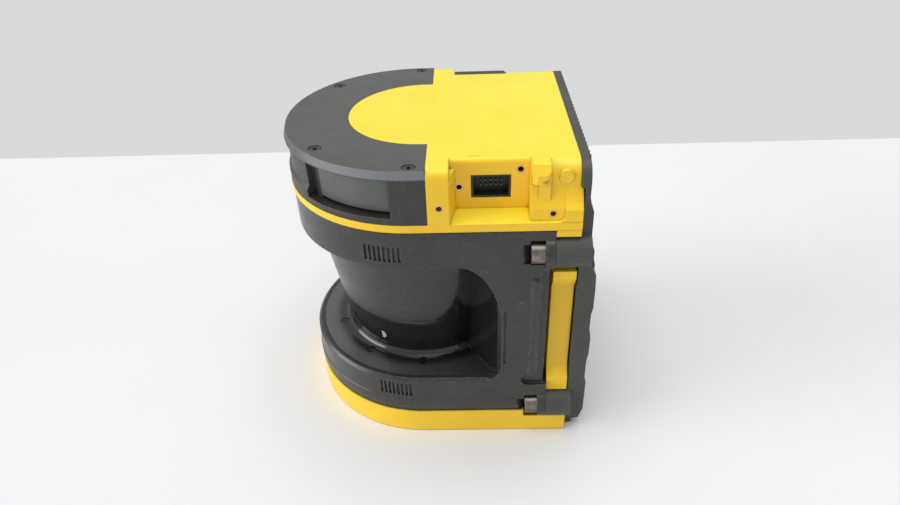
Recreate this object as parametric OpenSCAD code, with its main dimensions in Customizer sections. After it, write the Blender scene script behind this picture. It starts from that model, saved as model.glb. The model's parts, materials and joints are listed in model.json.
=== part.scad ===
// Safety laser scanner: a cast C-shaped housing that carries a horseshoe optics cover with a ring of scan
// window, a front hood with status displays, a finned rear casting and the rotating mirror unit inside.
// Frame: the scan axis is X = Y = 0, -Y is the front, +Y the mounting side, Z = 0 the underside of the base.

/* [Body] */
// Width of the horseshoe body, twice its front radius
body_w = 150; // [146:1:160]
// Overall height
body_h = 185; // [180:1:195]
// Scan axis to the back of the cast housing
housing_rear = 88; // [86:0.5:94]
// Height of the cast base band
base_h = 17; // [14:0.5:20]
// Wall of the cast housing
cast_wall = 3.2; // [2.6:0.1:4]
// Where the rear column starts behind the scan axis
column_front = 55; // [53:0.5:60]

/* [Head] */
// Height of the head above the cast rim
head_h = 30.5; // [28:0.5:34]
// Height of the cast rim that closes the optics cover
rim_h = 4.5; // [3.5:0.5:6]
// Half width of the head behind the ports
head_half = 68.8; // [67:0.2:70]
// Radius of the long upper edges of the head
head_round = 9.5; // [6:0.5:12]
// Rear end of the head behind the scan axis
head_rear = 86.6; // [85:0.2:88]
// Rear edge of the hood behind the scan axis
hood_rear = 9.1; // [6:0.5:14]
// Radius of the cast tongue that runs into the hood
tongue_r = 43.2; // [38:0.2:48]
// Centre of the tongue's round end, behind the scan axis
tongue_y = 5.3; // [0:0.1:8]
// Wall of the hood
hood_wall = 3; // [2.4:0.1:4]
// Height of the bevel round the hood's top edge
hood_bevel_h = 4.8; // [2:0.2:6]
// Depth of the bevel round the hood's top edge
hood_bevel = 1.3; // [0.6:0.1:2.4]

/* [Display recess] */
// Height of the display recess above the rim
recess_foot = 3.8; // [3:0.2:6]
// Height of the hood above the display recess
recess_cap = 5; // [4.8:0.2:8]
// Forward end of the recess, from the side axis
recess_a0 = 48.9; // [48.5:0.1:50]
// Rearward end of the recess, from the side axis
recess_a1 = 7.3; // [5:0.1:14]
// Depth of the recess at its forward end
recess_d = 5.5; // [4.6:0.1:5.8]
// Depth of the recess at its rear end
recess_tail = 4.8; // [4:0.1:5.6]
// Thickness of the display window
display_t = 2; // [1.5:0.1:2.5]

/* [Optics cover] */
// Side wall of the optics cover
cover_wall = 3; // [2.6:0.1:3.4]
// Rear end of the cover's side walls
cover_rear = 73; // [71:0.5:74]
// Height of the scan window's floor
floor_z = 44; // [42:0.5:47]
// Height of the cover's upper ring
ring_h = 23; // [20:0.5:26]
// Lower edge of the matt funnel above the scan window
funnel_z = 74.5; // [72:0.5:80]
// Radius of the scan window at its floor
window_r = 52; // [51:0.5:54]
// Radius of the scan window at its top
window_top_r = 55.8; // [54:0.2:58]
// Radius of the funnel under the upper ring
funnel_top_r = 64.5; // [62:0.5:67]
// Wall of the scan window
window_t = 2.5; // [2:0.1:3]
// Fillet at the foot of the scan window
window_fillet = 5; // [3:0.5:6]
// Radius of the window's floor plate
floor_r = 70; // [68.5:0.5:70.5]
// Rear edge of the side opening
opening_rear = 47.6; // [46:0.2:49]
// Fall of the lip outside the floor plate
lip_fall = 1.6; // [1:0.1:2.4]
// Louvres in each row
louvres = 8; // [5:1:10]
// Width of a louvre
louvre_w = 1.5; // [1:0.1:2]
// Height of a louvre
louvre_h = 10; // [6:0.5:11]
// Pitch of the louvres round the body
louvre_pitch = 2.7; // [2.4:0.1:3.2]
// Depth of a louvre
louvre_d = 1.2; // [0.8:0.1:1.8]
// Thickness of the cover's seals
seal_t = 0.8; // [0.6:0.1:1.2]

/* [Clamps] */
// Distance of a clamp screw inside the body's side
clamp_in = 5.4; // [5:0.1:6]
// Distance of the upper clamp screws below the rim
clamp_drop = 15.1; // [13.6:0.1:16]
// Height of the lower clamp screws
clamp_lo = 21.2; // [20.6:0.1:23]
// Radius of a clamp screw's head
clamp_head_r = 6.3; // [5.6:0.1:6.8]
// Length of a clamp screw's head
clamp_head_l = 7.5; // [6:0.5:8.5]
// Front face of the clamp ears
ear_y = 70; // [69:0.5:71]
// Rear face of the clamp ears
ear_rear = 75; // [74:0.5:76]
// Radius of the clamp bosses
boss_r = 9.8; // [9.4:0.1:10]
// Distance of a clamp screw outside its boss's axis
clamp_out = 2.4; // [1.8:0.1:2.8]
// Radius of the clamp screw's shank
clamp_shank_r = 3; // [2.5:0.1:3.5]
// Length of the clamp screw's shank below its head
clamp_shank_l = 18; // [14:1:20]

/* [Rear casting] */
// Depth of the rear casting, fins included
sink_d = 11.5; // [10:0.5:14]
// Plate of the rear casting
sink_plate = 2.6; // [2.2:0.2:3.4]
// Half width of the rear casting
sink_half = 70; // [68:0.5:71]
// Lower edge of the rear casting
sink_z = 5; // [3:0.5:8]
// Thickness of a fin
fin_t = 2; // [1.5:0.1:2.4]
// Pitch of the fins
fin_pitch = 5; // [4.5:0.1:6]
// Number of fins
fins = 25; // [19:2:25]
// Height of the fins' sloping upper part
fin_slope = 67; // [60:1:74]
// Distance between the mounting holes across
mount_dx = 100; // [90:1:110]
// Distance between the mounting holes in height
mount_dz = 80; // [70:1:84]
// Height of the lower mounting holes
mount_z = 28; // [26:1:34]
// Core radius of the mounting threads
mount_r = 2.5; // [2:0.1:3]
// Depth of the mounting threads
mount_depth = 8; // [6:0.5:8]
// Thickness of the gasket under the rear casting
rear_seal_t = 0.8; // [0.5:0.1:1.2]

/* [Ports] */
// Floor of the port recess from the middle plane
port_floor = 62; // [61:0.5:63]
// Forward edge of the port recess
port_y0 = 20.6; // [20:0.2:24]
// Rear edge of the port recess
port_y1 = 61.5; // [59:0.5:62]
// Height of the port's ledge above the rim
port_sill = 2.2; // [1.6:0.1:4]
// Middle of the port's header along the side
header_y = 41.8; // [40:0.2:43]
// Middle of the port's header above the ledge
header_up = 12.8; // [12:0.2:14]
// Length of the header's opening
header_l = 20.4; // [18:0.2:22]
// Height of the header's opening
header_h = 13; // [11:0.5:14]
// Depth of the header's shroud
header_d = 9; // [7:0.5:10]
// Pitch of the header's pins
pin_pitch = 2.54; // [2:0.02:2.6]
// Core radius of the port's screw holes
port_hole_r = 1.6; // [1.2:0.1:1.8]
// Depth of the port's screw holes
port_hole_d = 8; // [5:0.5:9]

/* [Mirror unit] */
// Height of the scan plane
scan_z = 62; // [60:0.5:66]
// Radius of the mirror holder
holder_r = 24; // [20:0.5:26]
// Thickness of the mirror
mirror_t = 3; // [2:0.2:4]
// Radius of the rotor shaft
shaft_r = 2; // [1.5:0.1:2.5]
// Running clearance of the shaft in its bearings
shaft_fit = 0.03; // [0.01:0.01:0.1]
// Outer radius of the ball bearings
bearing_r = 5.5; // [5:0.1:6.5]
// Width of a ball bearing
bearing_w = 4; // [3:0.5:5]
// Outer radius of the motor's stator
stator_r = 15; // [13:0.5:17]
// Radius of the encoder disc
encoder_r = 30; // [27:0.5:34]
// Radius of the receiving lens
lens_r = 25; // [22:0.5:27]
// Running gap between turning and fixed pieces
run_gap = 0.6; // [0.3:0.1:0.9]

/* [Hidden] */
$fn = 96;

yellow = "#F2C81E";
charcoal = "#4A4B4A";
gloss_black = "#141414";
steel = "#8C8882";

body_r = body_w / 2;
hood_z = body_h - head_h;           // seam between the rim and the hood
rim_z = hood_z - rim_h;
recess_z = hood_z + recess_foot;
recess_top = body_h - recess_cap;
ring_z = rim_z - ring_h;
clamp_x = body_r - clamp_in;
clamp_hi = rim_z - clamp_drop;
column_half = clamp_x - boss_r - 0.4;
port_z = hood_z + port_sill;
header_z = port_z + header_up;
cover_r = body_r - 0.6;            // outside of the cover's side walls
cover_in = cover_r - cover_wall;
cover_lo = base_h + seal_t;
cover_hi = rim_z - seal_t;
rear_y = housing_rear + sink_d;    // mounting plane
plate_y = housing_rear + rear_seal_t;
fin_root = plate_y + sink_plate;
opening_top = ring_z;              // upper edge of the side opening
low_corner = 8;                    // corners of the side opening
high_corner_y = 23.6;
high_corner_z = 44;
slot = 0.15;                       // seam between two mouldings of the cover
pass = 0.2;                        // clearance round a screw or a seated piece
cheek_angle = atan(opening_rear / cover_r);
bore_y = column_front - 1;
link_half = 25;                    // window in the back for the cable link to the rear casting
link_low = 95;
link_high = 125;
far = 400;

// ---------- shared shapes ----------

// Horseshoe outline: a half round front with straight sides that run back to y = rear
module d_plan(r, rear) {
    circle(r);
    translate([-r, 0]) square([2 * r, rear]);
}

// Sweeps a (radius, height) profile round the half round front and straight back to y = rear
module d_sweep(rear) {
    rotate([0, 0, 180]) rotate_extrude(angle = 180) children();
    for (side = [0, 1]) mirror([side, 0, 0])
        translate([0, rear, 0]) rotate([90, 0, 0]) linear_extrude(rear) children();
}

// Sweeps a (y, z) outline across the whole width
module across(width = 2 * far) {
    translate([-width / 2, 0, 0]) rotate([90, 0, 90]) linear_extrude(width) children();
}

module both_sides() {
    children();
    mirror([1, 0, 0]) children();
}

// Box given by two opposite corners
module span(low, high) {
    translate(low) cube(high - low);
}

// Cylinder along +Y that starts at the given point
module along_y(at, r, l) {
    translate(at) rotate([-90, 0, 0]) cylinder(r = r, h = l);
}

// Cylinder along +X that starts at the given point
module along_x(at, r, l) {
    translate(at) rotate([0, 90, 0]) cylinder(r = r, h = l);
}

// Cap screw along -Z with its head's top at the origin
module cap_screw(head_r, head_h, shank_r, shank_l, key_r, key_d) {
    difference() {
        union() {
            translate([0, 0, -head_h]) cylinder(r = head_r, h = head_h);
            translate([0, 0, -head_h - shank_l]) cylinder(r = shank_r, h = shank_l + 0.01);
        }
        translate([0, 0, -key_d]) cylinder(r = key_r, h = key_d + 1, $fn = 6);
    }
}

// ---------- the scan gap ----------

// Profile of funnel, scan window and floor round the scan axis, grown by t into the body
function foot_arc(t) =
    [for (a = [0:15:90]) [window_r + window_fillet - (window_fillet + t) * cos(a),
                          floor_z + window_fillet - (window_fillet + t) * sin(a)]];

function gap_profile(t) = concat(
    [[far / 2, ring_z + t], [funnel_top_r - t, ring_z + t], [window_top_r - t, funnel_z]],
    foot_arc(t),
    [[far / 2, floor_z - t]]);

// Side view of the gap: a tall elliptic rear corner above, a small round one below
function gap_outline(t) = concat(
    [[-far, floor_z - t]],
    [for (a = [-90:15:0]) [opening_rear - low_corner + (low_corner + t) * cos(a),
                           floor_z + low_corner + (low_corner + t) * sin(a)]],
    [for (a = [0:6:90]) [opening_rear - high_corner_y + (high_corner_y + t) * cos(a),
                         opening_top - high_corner_z + (high_corner_z + t) * sin(a)]],
    [[-far, opening_top + t]]);

// Plan of the gap: everything in front of the two radial cheeks
module gap_plan(t) {
    back = t / cos(cheek_angle);
    reach = far / 2;
    polygon([[0, back], [reach, back + reach * tan(cheek_angle)], [reach, -reach],
             [-reach, -reach], [-reach, back + reach * tan(cheek_angle)]]);
}

module gap(t) {
    intersection() {
        rotate_extrude() polygon(gap_profile(t));
        linear_extrude(body_h) gap_plan(t);
        across() polygon(gap_outline(t));
    }
}

// ---------- cast housing ----------

// Cross-section of the head with its two long rounded edges, in (x, z)
module head_section(half, round_r, low) {
    translate([-half, low]) square([2 * half, body_h - low - round_r]);
    translate([-half + round_r, low]) square([2 * (half - round_r), body_h - low]);
    for (s = [-1, 1]) translate([s * (half - round_r), body_h - round_r]) circle(round_r);
}

// Cross-section of the post that ends the hood's side, in (x, z)
module post_section() { head_section(body_r, hood_bevel_h, hood_z); }

module along_body(y0, y1) {
    translate([0, y1, 0]) rotate([90, 0, 0]) linear_extrude(y1 - y0) children();
}

block_top = hood_z + 6.8;          // top of the flange block behind the port recess
block_rear = 79;
block_x = body_r - 2.1;
flange_x = body_r - 0.4;
slope_top = block_top + 10.7;      // where the head's side meets the slope down to the flange
corner_r = 3.5;
lug_z = body_h - 11.3;
lug_x = head_half + 3;
lug_y0 = port_y1 + 0.6;
lug_y1 = lug_y0 + 9.4;
far_port_y0 = port_y0 + 1.8;       // the far port is a little shorter
far_port_y1 = port_y1 - 4;
strap_y = ear_rear + 0.4;
strap_top = clamp_hi - boss_r - 4;
strap_low = clamp_lo + boss_r + 0.8;
strap_x = 71.5;
strap_dip = 4.5;
chin_z = rim_z - 4.2;              // the head's rear corners reach below the rim

module strap_section() {
    polygon([[column_half - 1, strap_low], [strap_x, strap_low], [strap_x, strap_low + 9.5],
             [strap_x - strap_dip, strap_low + 18], [strap_x - strap_dip, strap_top - 12.8],
             [strap_x - 0.4, strap_top - 5], [strap_x - 0.4, strap_top], [column_half - 1, strap_top]]);
}

module head_cavity_plan() {
    translate([0, tongue_y]) circle(tongue_r - cast_wall);
    translate([cast_wall - tongue_r, tongue_y]) square([2 * (tongue_r - cast_wall), 12]);
    cavity_half = port_floor - cast_wall;
    translate([-cavity_half, hood_rear + cast_wall])
        square([2 * cavity_half, head_rear - hood_rear - 2 * cast_wall]);
}

module head_shell() {
    translate([0, 0, rim_z]) linear_extrude(rim_h) d_plan(body_r, housing_rear);
    along_body(hood_rear, port_y0) post_section();
    along_body(port_y0 - 1, port_y1 + 1) head_section(port_floor, 3, hood_z - 1);
    along_body(port_y1, head_rear) head_section(head_half, head_round, hood_z - 1);
    translate([0, 0, hood_z - 1]) linear_extrude(body_h - hood_z + 1) {
        translate([0, tongue_y]) circle(tongue_r);
        translate([-tongue_r, tongue_y]) square([2 * tongue_r, hood_rear - tongue_y + 1]);
    }
    // sloping ledge below the port, flange block and rear flange
    along_body(port_y0 - 1, block_rear)
        polygon([[-body_r, hood_z - 1], [body_r, hood_z - 1], [body_r, hood_z], [port_floor, port_z],
                 [-port_floor, port_z], [-body_r, hood_z]]);
    along_body(port_y1, block_rear) slope_section(block_x);
    along_body(block_rear - 0.1, housing_rear) slope_section(flange_x);
    across(2 * flange_x) difference() {
        translate([block_rear - corner_r, hood_z - 1]) square([corner_r, corner_r + 1]);
        translate([block_rear - corner_r, hood_z + corner_r]) circle(corner_r);
    }
    // slanted wall between the post and the port's floor, with the hook lug and its web on the near side
    translate([0, 0, hood_z]) linear_extrude(body_h - hood_z - 5)
        polygon([[port_floor - 0.1, port_y0 - 0.1], [body_r - 1.5, port_y0 - 0.1], [port_floor - 0.1, port_y0 + 2.8]]);
    hook_lug();
    span([port_floor, lug_y0 + 3.4, block_top], [lug_x - 1, lug_y1, lug_z + 1]);
    // the far port's shorter recess
    intersection() {
        union() {
            along_body(port_y0 - 1, far_port_y0) post_section();
            along_body(far_port_y1, port_y1 + 1) head_section(head_half, head_round, hood_z - 1);
        }
        translate([-far, 0, 0]) cube(far);
    }
    both_sides() {
        // screw boss behind the lug
        along_x([head_half - 6, port_y1 + 17.7, body_h - 7.5], 3.7, 6.5);
        // chin
        span([column_half - 1, ear_rear + pass, chin_z], [flange_x, housing_rear, rim_z + 1]);
    }
}

// Cross-section of the flange with the hollow slope above it, in (x, z)
module slope_section(x) {
    polygon([[-x, hood_z - 1], [x, hood_z - 1], [x, block_top], [x - 0.45 * (x - head_half), block_top + 3.4],
             [x - 0.8 * (x - head_half), block_top + 7], [head_half - 0.2, slope_top], [0.2 - head_half, slope_top],
             [-x + 0.8 * (x - head_half), block_top + 7], [-x + 0.45 * (x - head_half), block_top + 3.4],
             [-x, block_top]]);
}

// Hook lug beside the port, with a sloping top and broken corners
module hook_lug() {
    intersection() {
        along_body(lug_y0, lug_y1)
            polygon([[port_floor - 1, lug_z], [lug_x - 1, lug_z], [lug_x, lug_z + 1], [lug_x, body_h - 5.6],
                     [lug_x - 3.6, body_h - 0.8], [lug_x - 6.6, body_h], [port_floor - 1, body_h]]);
        linear_extrude(body_h)
            polygon([[0, lug_y0], [lug_x - 1.8, lug_y0], [lug_x, lug_y0 + 2.2], [lug_x, lug_y1 - 2],
                     [lug_x - 1.6, lug_y1], [0, lug_y1]]);
    }
}

// Screw holes in the port recess, and one more in the post and the flange block
port_screws = [[port_floor, port_y0 + 4.8, port_z + 12.6], [port_floor, port_y1 - 4.7, port_z + 22.2]];
far_port_screws = [[port_floor, port_y0 + 4.8, port_z + 12.6], [port_floor, far_port_y1 - 4.7, port_z + 22.2]];
side_screws = [[body_r, hood_rear + 6.1, hood_z + 9.7], [block_x, port_y1 + 11.4, block_top - 2.4]];

module side_holes(places) {
    for (hole = places) along_x([hole.x - port_hole_d, hole.y, hole.z], port_hole_r, port_hole_d + 1);
}

header_wall = port_floor - cast_wall;
post_h = 14;                       // posts in the base that carry the motor bracket
post_r = 34;

module base_posts() {
    for (a = [30, 150, 270]) rotate(a) translate([post_r, 0, cast_wall]) children();
}

module housing() {
    color(yellow) difference() {
        union() {
            difference() {
                union() {
                    linear_extrude(base_h) d_plan(body_r, housing_rear);
                    head_shell();
                    span([-column_half, column_front, base_h - 1], [column_half, housing_rear, rim_z + 1]);
                    both_sides() along_body(strap_y, housing_rear) strap_section();
                }
                // hollow base, column and head
                translate([0, 0, cast_wall]) linear_extrude(base_h)
                    d_plan(body_r - cast_wall, housing_rear - cast_wall);
                span([cast_wall - column_half, bore_y, cast_wall],
                     [column_half - cast_wall, housing_rear - cast_wall, rim_z + 1]);
                translate([0, 0, rim_z - 1]) linear_extrude(body_h - cast_wall - rim_z + 1) head_cavity_plan();
                // connector window through the back
                span([-link_half, housing_rear - cast_wall - 1, link_low], [link_half, housing_rear + 1, link_high]);
            }
            base_posts() translate([0, 0, -1]) cylinder(r = 4.2, h = post_h + 1);
        }
        both_sides() {
            // room for the clamp heads and the rear casting's arms in the base band
            translate([0, 0, clamp_lo]) clamp_arm(cover_rear - 11, boss_r + 0.4);
            side_holes(side_screws);
            // core in the back of the strap
            span([column_half + 1.5, housing_rear - 8, strap_low + 8],
                 [strap_x - strap_dip - 3, housing_rear + 1, strap_top - 8]);
        }
        side_holes(port_screws);
        mirror([1, 0, 0]) side_holes(far_port_screws);
        header_block(0);
        hood_screw_places() translate([0, 0, rim_z + 1]) cylinder(r = hood_shank_r + 0.1, h = rim_h);
        rear_screw_places() cylinder(r = rear_shank_r + 0.1, h = 24, center = true);
        base_posts() translate([0, 0, post_h - 10]) cylinder(r = 1.6, h = 11);
        barrel_screw_places() translate([0, 0, rim_z - 1]) cylinder(r = barrel_shank_r + 0.1, h = rim_h);
    }
}

// ---------- hood ----------

plate_z = body_h - hood_bevel_h;   // seam between hood and top plate
hood_screws_at = [[0.8, 69.3], [-47.8, 67.2], [-132, 67.2], [179.2, 69.3]];   // angle and radius
hood_head_r = 3.2;
hood_head_h = 2.4;
hood_shank_r = 1.5;
hood_boss_r = 3.4;

module hood_screw_places() {
    for (at = hood_screws_at) rotate(at[0]) translate([at[1], 0, 0]) children();
}

// The cast tongue's plan, grown by t
module tongue_plan(t) {
    translate([0, tongue_y]) circle(tongue_r + t);
    translate([-tongue_r - t, tongue_y]) square([2 * (tongue_r + t), far]);
}

module top_plate() {
    color(charcoal) difference() {
        d_sweep(hood_rear - slot)
            polygon([[0, plate_z], [body_r, plate_z], [body_r, plate_z + 0.6],
                     [body_r - hood_bevel, body_h], [0, body_h]]);
        translate([0, 0, plate_z - 1]) linear_extrude(far) tongue_plan(slot);
        hood_screw_places() {
            translate([0, 0, body_h - hood_head_h - 0.3]) cylinder(r = hood_head_r + 0.45, h = far);
            cylinder(r = hood_shank_r + pass, h = far);
        }
    }
}

// Centre of the recess face, an arc of the body's own radius set inwards
recess_p0 = (body_r - recess_d) * [cos(recess_a0), -sin(recess_a0)];
recess_p1 = (body_r - recess_tail) * [cos(recess_a1), -sin(recess_a1)];
recess_run = recess_p1 - recess_p0;
recess_c = (recess_p0 + recess_p1) / 2
    + [-recess_run.y, recess_run.x] / norm(recess_run) * sqrt(pow(body_r, 2) - pow(norm(recess_run) / 2, 2));

module recess_sector(grow, a0 = recess_a0) {
    polygon([[0, 0], far * [cos(recess_a1 - grow), -sin(recess_a1 - grow)],
             far * [cos(a0 + grow), -sin(a0 + grow)]]);
}

// Layer between depths d0 and d1 below the recess face, over the window's sector turned in by grow degrees
module recess_layer(d0, d1, z0, z1, grow) {
    translate([0, 0, z0]) linear_extrude(z1 - z0) difference() {
        intersection() {
            translate(recess_c) circle(body_r - d0);
            recess_sector(grow, window_a0);
        }
        translate(recess_c) circle(body_r - d1);
    }
}

module recess_cut() {
    translate([0, 0, recess_z]) linear_extrude(recess_top - recess_z) difference() {
        recess_sector(0);
        translate(recess_c) circle(body_r);
    }
}

waist_d = 1.7;                     // shallow waist round the front, below the top plate
waist_z = recess_z + 4;

// Waist round the front of the hood, between the two display recesses
module waist_cut() {
    intersection() {
        rotate_extrude() polygon([[body_r - waist_d, waist_z + 2.6], [body_r - waist_d, plate_z], [far / 2, plate_z],
                                  [far / 2, waist_z], [body_r, waist_z]]);
        linear_extrude(body_h) polygon([[0, 0], far * [cos(recess_a0), -sin(recess_a0)],
                                        [0, -3 * far], far * [-cos(recess_a0), -sin(recess_a0)]]);
    }
}

window_low = recess_z + 1.3;
window_a0 = recess_a0 - 3;           // forward of this the recess face is the hood's own
window_high = recess_top - 0.6;
window_turn = -1.2;                // the window ends this many degrees inside the recess
lining_t = 2;                      // wall behind the window's seat

module front_hood() {
    color(charcoal) difference() {
        union() {
            difference() {
                d_sweep(hood_rear - slot)
                    polygon([[0, hood_z], [body_r - 0.2, hood_z], [body_r - 0.2, plate_z], [0, plate_z]]);
                translate([0, 0, hood_z - 1]) linear_extrude(far) d_plan(body_r - hood_wall, hood_rear - hood_wall);
            }
            intersection() {
                translate([0, 0, hood_z]) linear_extrude(plate_z - hood_z) d_plan(body_r - 0.2, hood_rear - slot);
                union() {
                    both_sides() {
                        translate([0, 0, recess_z - 2]) linear_extrude(plate_z - recess_z + 2)
                            difference() {
                                recess_sector(2.4);
                                translate(recess_c) circle(body_r - display_t - lining_t);
                            }
                    }
                    hood_screw_places() translate([0, 0, hood_z]) cylinder(r = hood_boss_r, h = far);
                }
            }
        }
        translate([0, 0, hood_z - 1]) linear_extrude(far) tongue_plan(slot);
        hood_screw_places() cylinder(r = hood_shank_r + pass, h = far);
        waist_cut();
        both_sides() {
            recess_cut();
            recess_layer(-1, display_t + 0.1, window_low, window_high, window_turn);
            recess_layer(0, far / 10, window_low + 2, window_high - 2, window_turn - 2);
            // groove under the window
            recess_layer(-1, display_t + 1, recess_z, window_low + 0.1, window_turn);
        }
    }
}

module recess_window() {
    recess_layer(0, display_t, window_low + 0.1, window_high - 0.1, window_turn - 0.1);
}

module display_window() {
    color("#5B5C5B") recess_window();
}

module indicator_window() {
    color("#5B5C5B") mirror([1, 0, 0]) recess_window();
}

module hood_screws() {
    color("#2E2E2E") hood_screw_places() translate([0, 0, body_h - 0.3])
        cap_screw(hood_head_r, hood_head_h, hood_shank_r, body_h - hood_head_h - 0.3 - rim_z - 1.3, 1.3, 1.4);
}

// ---------- optics cover ----------

clamp_heights = [clamp_lo, clamp_hi];

module clamp_places() {
    both_sides() for (z = clamp_heights) translate([clamp_x + clamp_out, 0, z]) children();
}

// Part of the gap's lining that is matt: the funnel ahead of its curved rear edge
module matt_zone(shift) {
    turn_z = ring_z - 15;
    turn_y = 5;
    reach_y = 19.3;
    across() polygon(concat(
        [[-far, funnel_z + shift], [turn_y, funnel_z + shift]],
        [for (a = [-80:10:0]) [turn_y - shift + reach_y * cos(a), turn_z + (turn_z - funnel_z - shift) * sin(a)]],
        [[turn_y + reach_y - shift, ring_z + 10], [-far, ring_z + 10]]));
}

// Louvre slots side by side round the near and far front quarter
module louvre_row(z0) {
    turn = louvre_pitch / body_r * 180 / PI;
    both_sides() for (i = [0:louvres - 1]) rotate(-5.5 - turn * i)
        translate([cover_r - louvre_d, -louvre_w / 2, z0]) cube([louvre_d + 2, louvre_w, louvre_h]);
}

ear_in = column_half + 0.6;        // inner faces of the clamp ears

// Arm round a clamp screw, from y backwards; straight-sided inwards of the screw
module clamp_arm(y, r) {
    along_y([clamp_x, y, 0], r, far);
    span([ear_in + boss_r - r, y, -r], [clamp_x, y + far, r]);
}

pocket_y = ear_y - clamp_head_l - 0.4;
rail_y = 66;
scoop_r = 4.3;
scoop_d = 2.2;
scoop_z = clamp_lo + clamp_head_r + scoop_r + 11.3;
lip_profile = [[cover_r - lip_fall, floor_z], [cover_r + 2, floor_z + 2], [cover_r + 2, floor_z - lip_fall],
               [cover_r, floor_z - lip_fall]];

// Section of a clamp pocket round its screw: open outwards, with a slanted upper wall
module pocket_section() {
    gap_r = clamp_head_r + 0.4;
    polygon([[0, -gap_r], [far, -gap_r], [far, gap_r + 2.6], [clamp_in - clamp_out, gap_r + 2.6], [0.6, gap_r],
             [0, gap_r]]);
}

module cover_skin() {
    d_sweep(cover_rear)
        polygon([[cover_in, cover_lo], [cover_r - 0.2, cover_lo], [cover_r + 0.2, cover_lo + 3.4],
                 [cover_r + 0.8, cover_lo + 4], [cover_r + 0.8, cover_lo + 9.4], [cover_r + 0.3, cover_lo + 10.2],
                 [cover_r, floor_z], [cover_r, cover_hi], [cover_in, cover_hi]]);
}

module optics_cover() {
    color(charcoal) difference() {
        union() {
            difference() {
                cover_skin();
                gap(0);
            }
            // funnel, ring floor and lip, the matt part of the lining
            intersection() {
                difference() {
                    gap(window_t);
                    gap(0);
                }
                translate([0, 0, cover_lo]) linear_extrude(far) d_plan(cover_in + 0.5, cover_rear);
                union() {
                    matt_zone(0);
                    difference() {
                        translate([0, 0, cover_lo]) linear_extrude(floor_z - cover_lo + 0.01) circle(far);
                        linear_extrude(far) d_plan(floor_r + slot, far);
                    }
                }
            }
            both_sides() {
                // clamp ears with their pockets' walls
                span([ear_in, pocket_y - 3.6, clamp_hi - 9.6], [cover_r, ear_rear, cover_hi]);
                span([ear_in, pocket_y - 3.6, cover_lo], [cover_r, ear_rear, clamp_lo + 18]);
                for (z = clamp_heights) along_y([clamp_x, ear_y, z], boss_r, ear_rear - ear_y);
                // rail beside the rear edge
                translate([cover_r - 1.2, rail_y, scoop_z]) cylinder(r = 2.6, h = ring_z - 9 - scoop_z);
            }
        }
        both_sides() {
            for (z = clamp_heights) {
                translate([clamp_x + clamp_out, 0, z]) {
                    along_y([0, ear_y - 1, 0], clamp_shank_r + pass, far);
                    along_y([0, pocket_y, 0], clamp_head_r + 0.4, ear_y - pocket_y);
                    translate([0, ear_y, 0]) rotate([90, 0, 0]) linear_extrude(ear_y - pocket_y) pocket_section();
                }
                // slanted front wall of the pocket
                translate([0, 0, z - clamp_head_r]) linear_extrude(2 * clamp_head_r)
                    polygon([[cover_r - 2.6, pocket_y], [cover_r + 0.4, pocket_y - 4.4], [far, pocket_y - 4.4],
                             [far, pocket_y + 1], [cover_r - 2.6, pocket_y + 1]]);
            }
            // stepped flange behind the rail and the slit ahead of it
            span([cover_r - 1.6, rail_y + 3, scoop_z], [far, cover_rear + 1, clamp_hi - 11]);
            span([cover_r - 1.2, opening_rear + 1.4, floor_z + 12], [far, opening_rear + 2.8, ring_z - 30]);
            // scoop above the lower clamp
            along_x([cover_r - scoop_d, rail_y - 2, scoop_z], scoop_r, far);
            span([cover_r - scoop_d, rail_y - 2, scoop_z - scoop_r], [far, cover_rear + 1, scoop_z + scoop_r]);
        }
        d_sweep(opening_rear - low_corner) polygon(lip_profile);
        louvre_row(ring_z + 3.8);
        louvre_row(cover_lo + 12.4);
    }
}

module scan_window() {
    color(gloss_black) intersection() {
        difference() {
            gap(window_t);
            gap(0);
            matt_zone(-slot);
            sensor_places() cylinder(r = sensor_r + 0.1, h = 3 * window_t, center = true);
        }
        union() {
            translate([0, 0, floor_z - window_t - 1]) linear_extrude(window_t + 1.1) d_plan(floor_r, far);
            translate([0, 0, floor_z + 0.1]) linear_extrude(far) d_plan(cover_in - slot, far);
        }
    }
}

sensor_ring_r = 57.5;
sensor_r = 2.8;

module sensor_places() {
    for (a = [0:-36:-180]) rotate(a) translate([sensor_ring_r, 0, floor_z]) children();
}

// Emitters set in the floor plate that look up at the scan window
module window_sensors() {
    color("#0D1013") sensor_places() {
        translate([0, 0, -window_t - 3]) cylinder(r = sensor_r, h = window_t + 2.7);
        translate([0, 0, -window_t - 3.2]) cylinder(r = sensor_r + 1.4, h = 3);
    }
}

// Seal round the cover's edge, as far back as the clamps leave room
module seal_ring(z, rear) {
    color("#1B1B1B") translate([0, 0, z]) linear_extrude(seal_t) difference() {
        d_plan(cover_r - 0.3, rear);
        d_plan(cover_in + 0.3, far);
    }
}

module cover_seal_top() { seal_ring(cover_hi, cover_rear); }

module cover_seal_bottom() { seal_ring(base_h, pocket_y - 1); }

module clamp_screws() {
    color(steel) clamp_places() translate([0, ear_y - clamp_head_l, 0]) rotate([90, 0, 0])
        cap_screw(clamp_head_r, clamp_head_l, clamp_shank_r, clamp_shank_l, 3, 4);
}

// ---------- rear casting ----------

fin_top = rear_y - 7.7;            // rear edge of the fins at the head
fin_full_z = body_h - fin_slope;
side_x = sink_half + 1;            // outer faces of the side flanges
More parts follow.
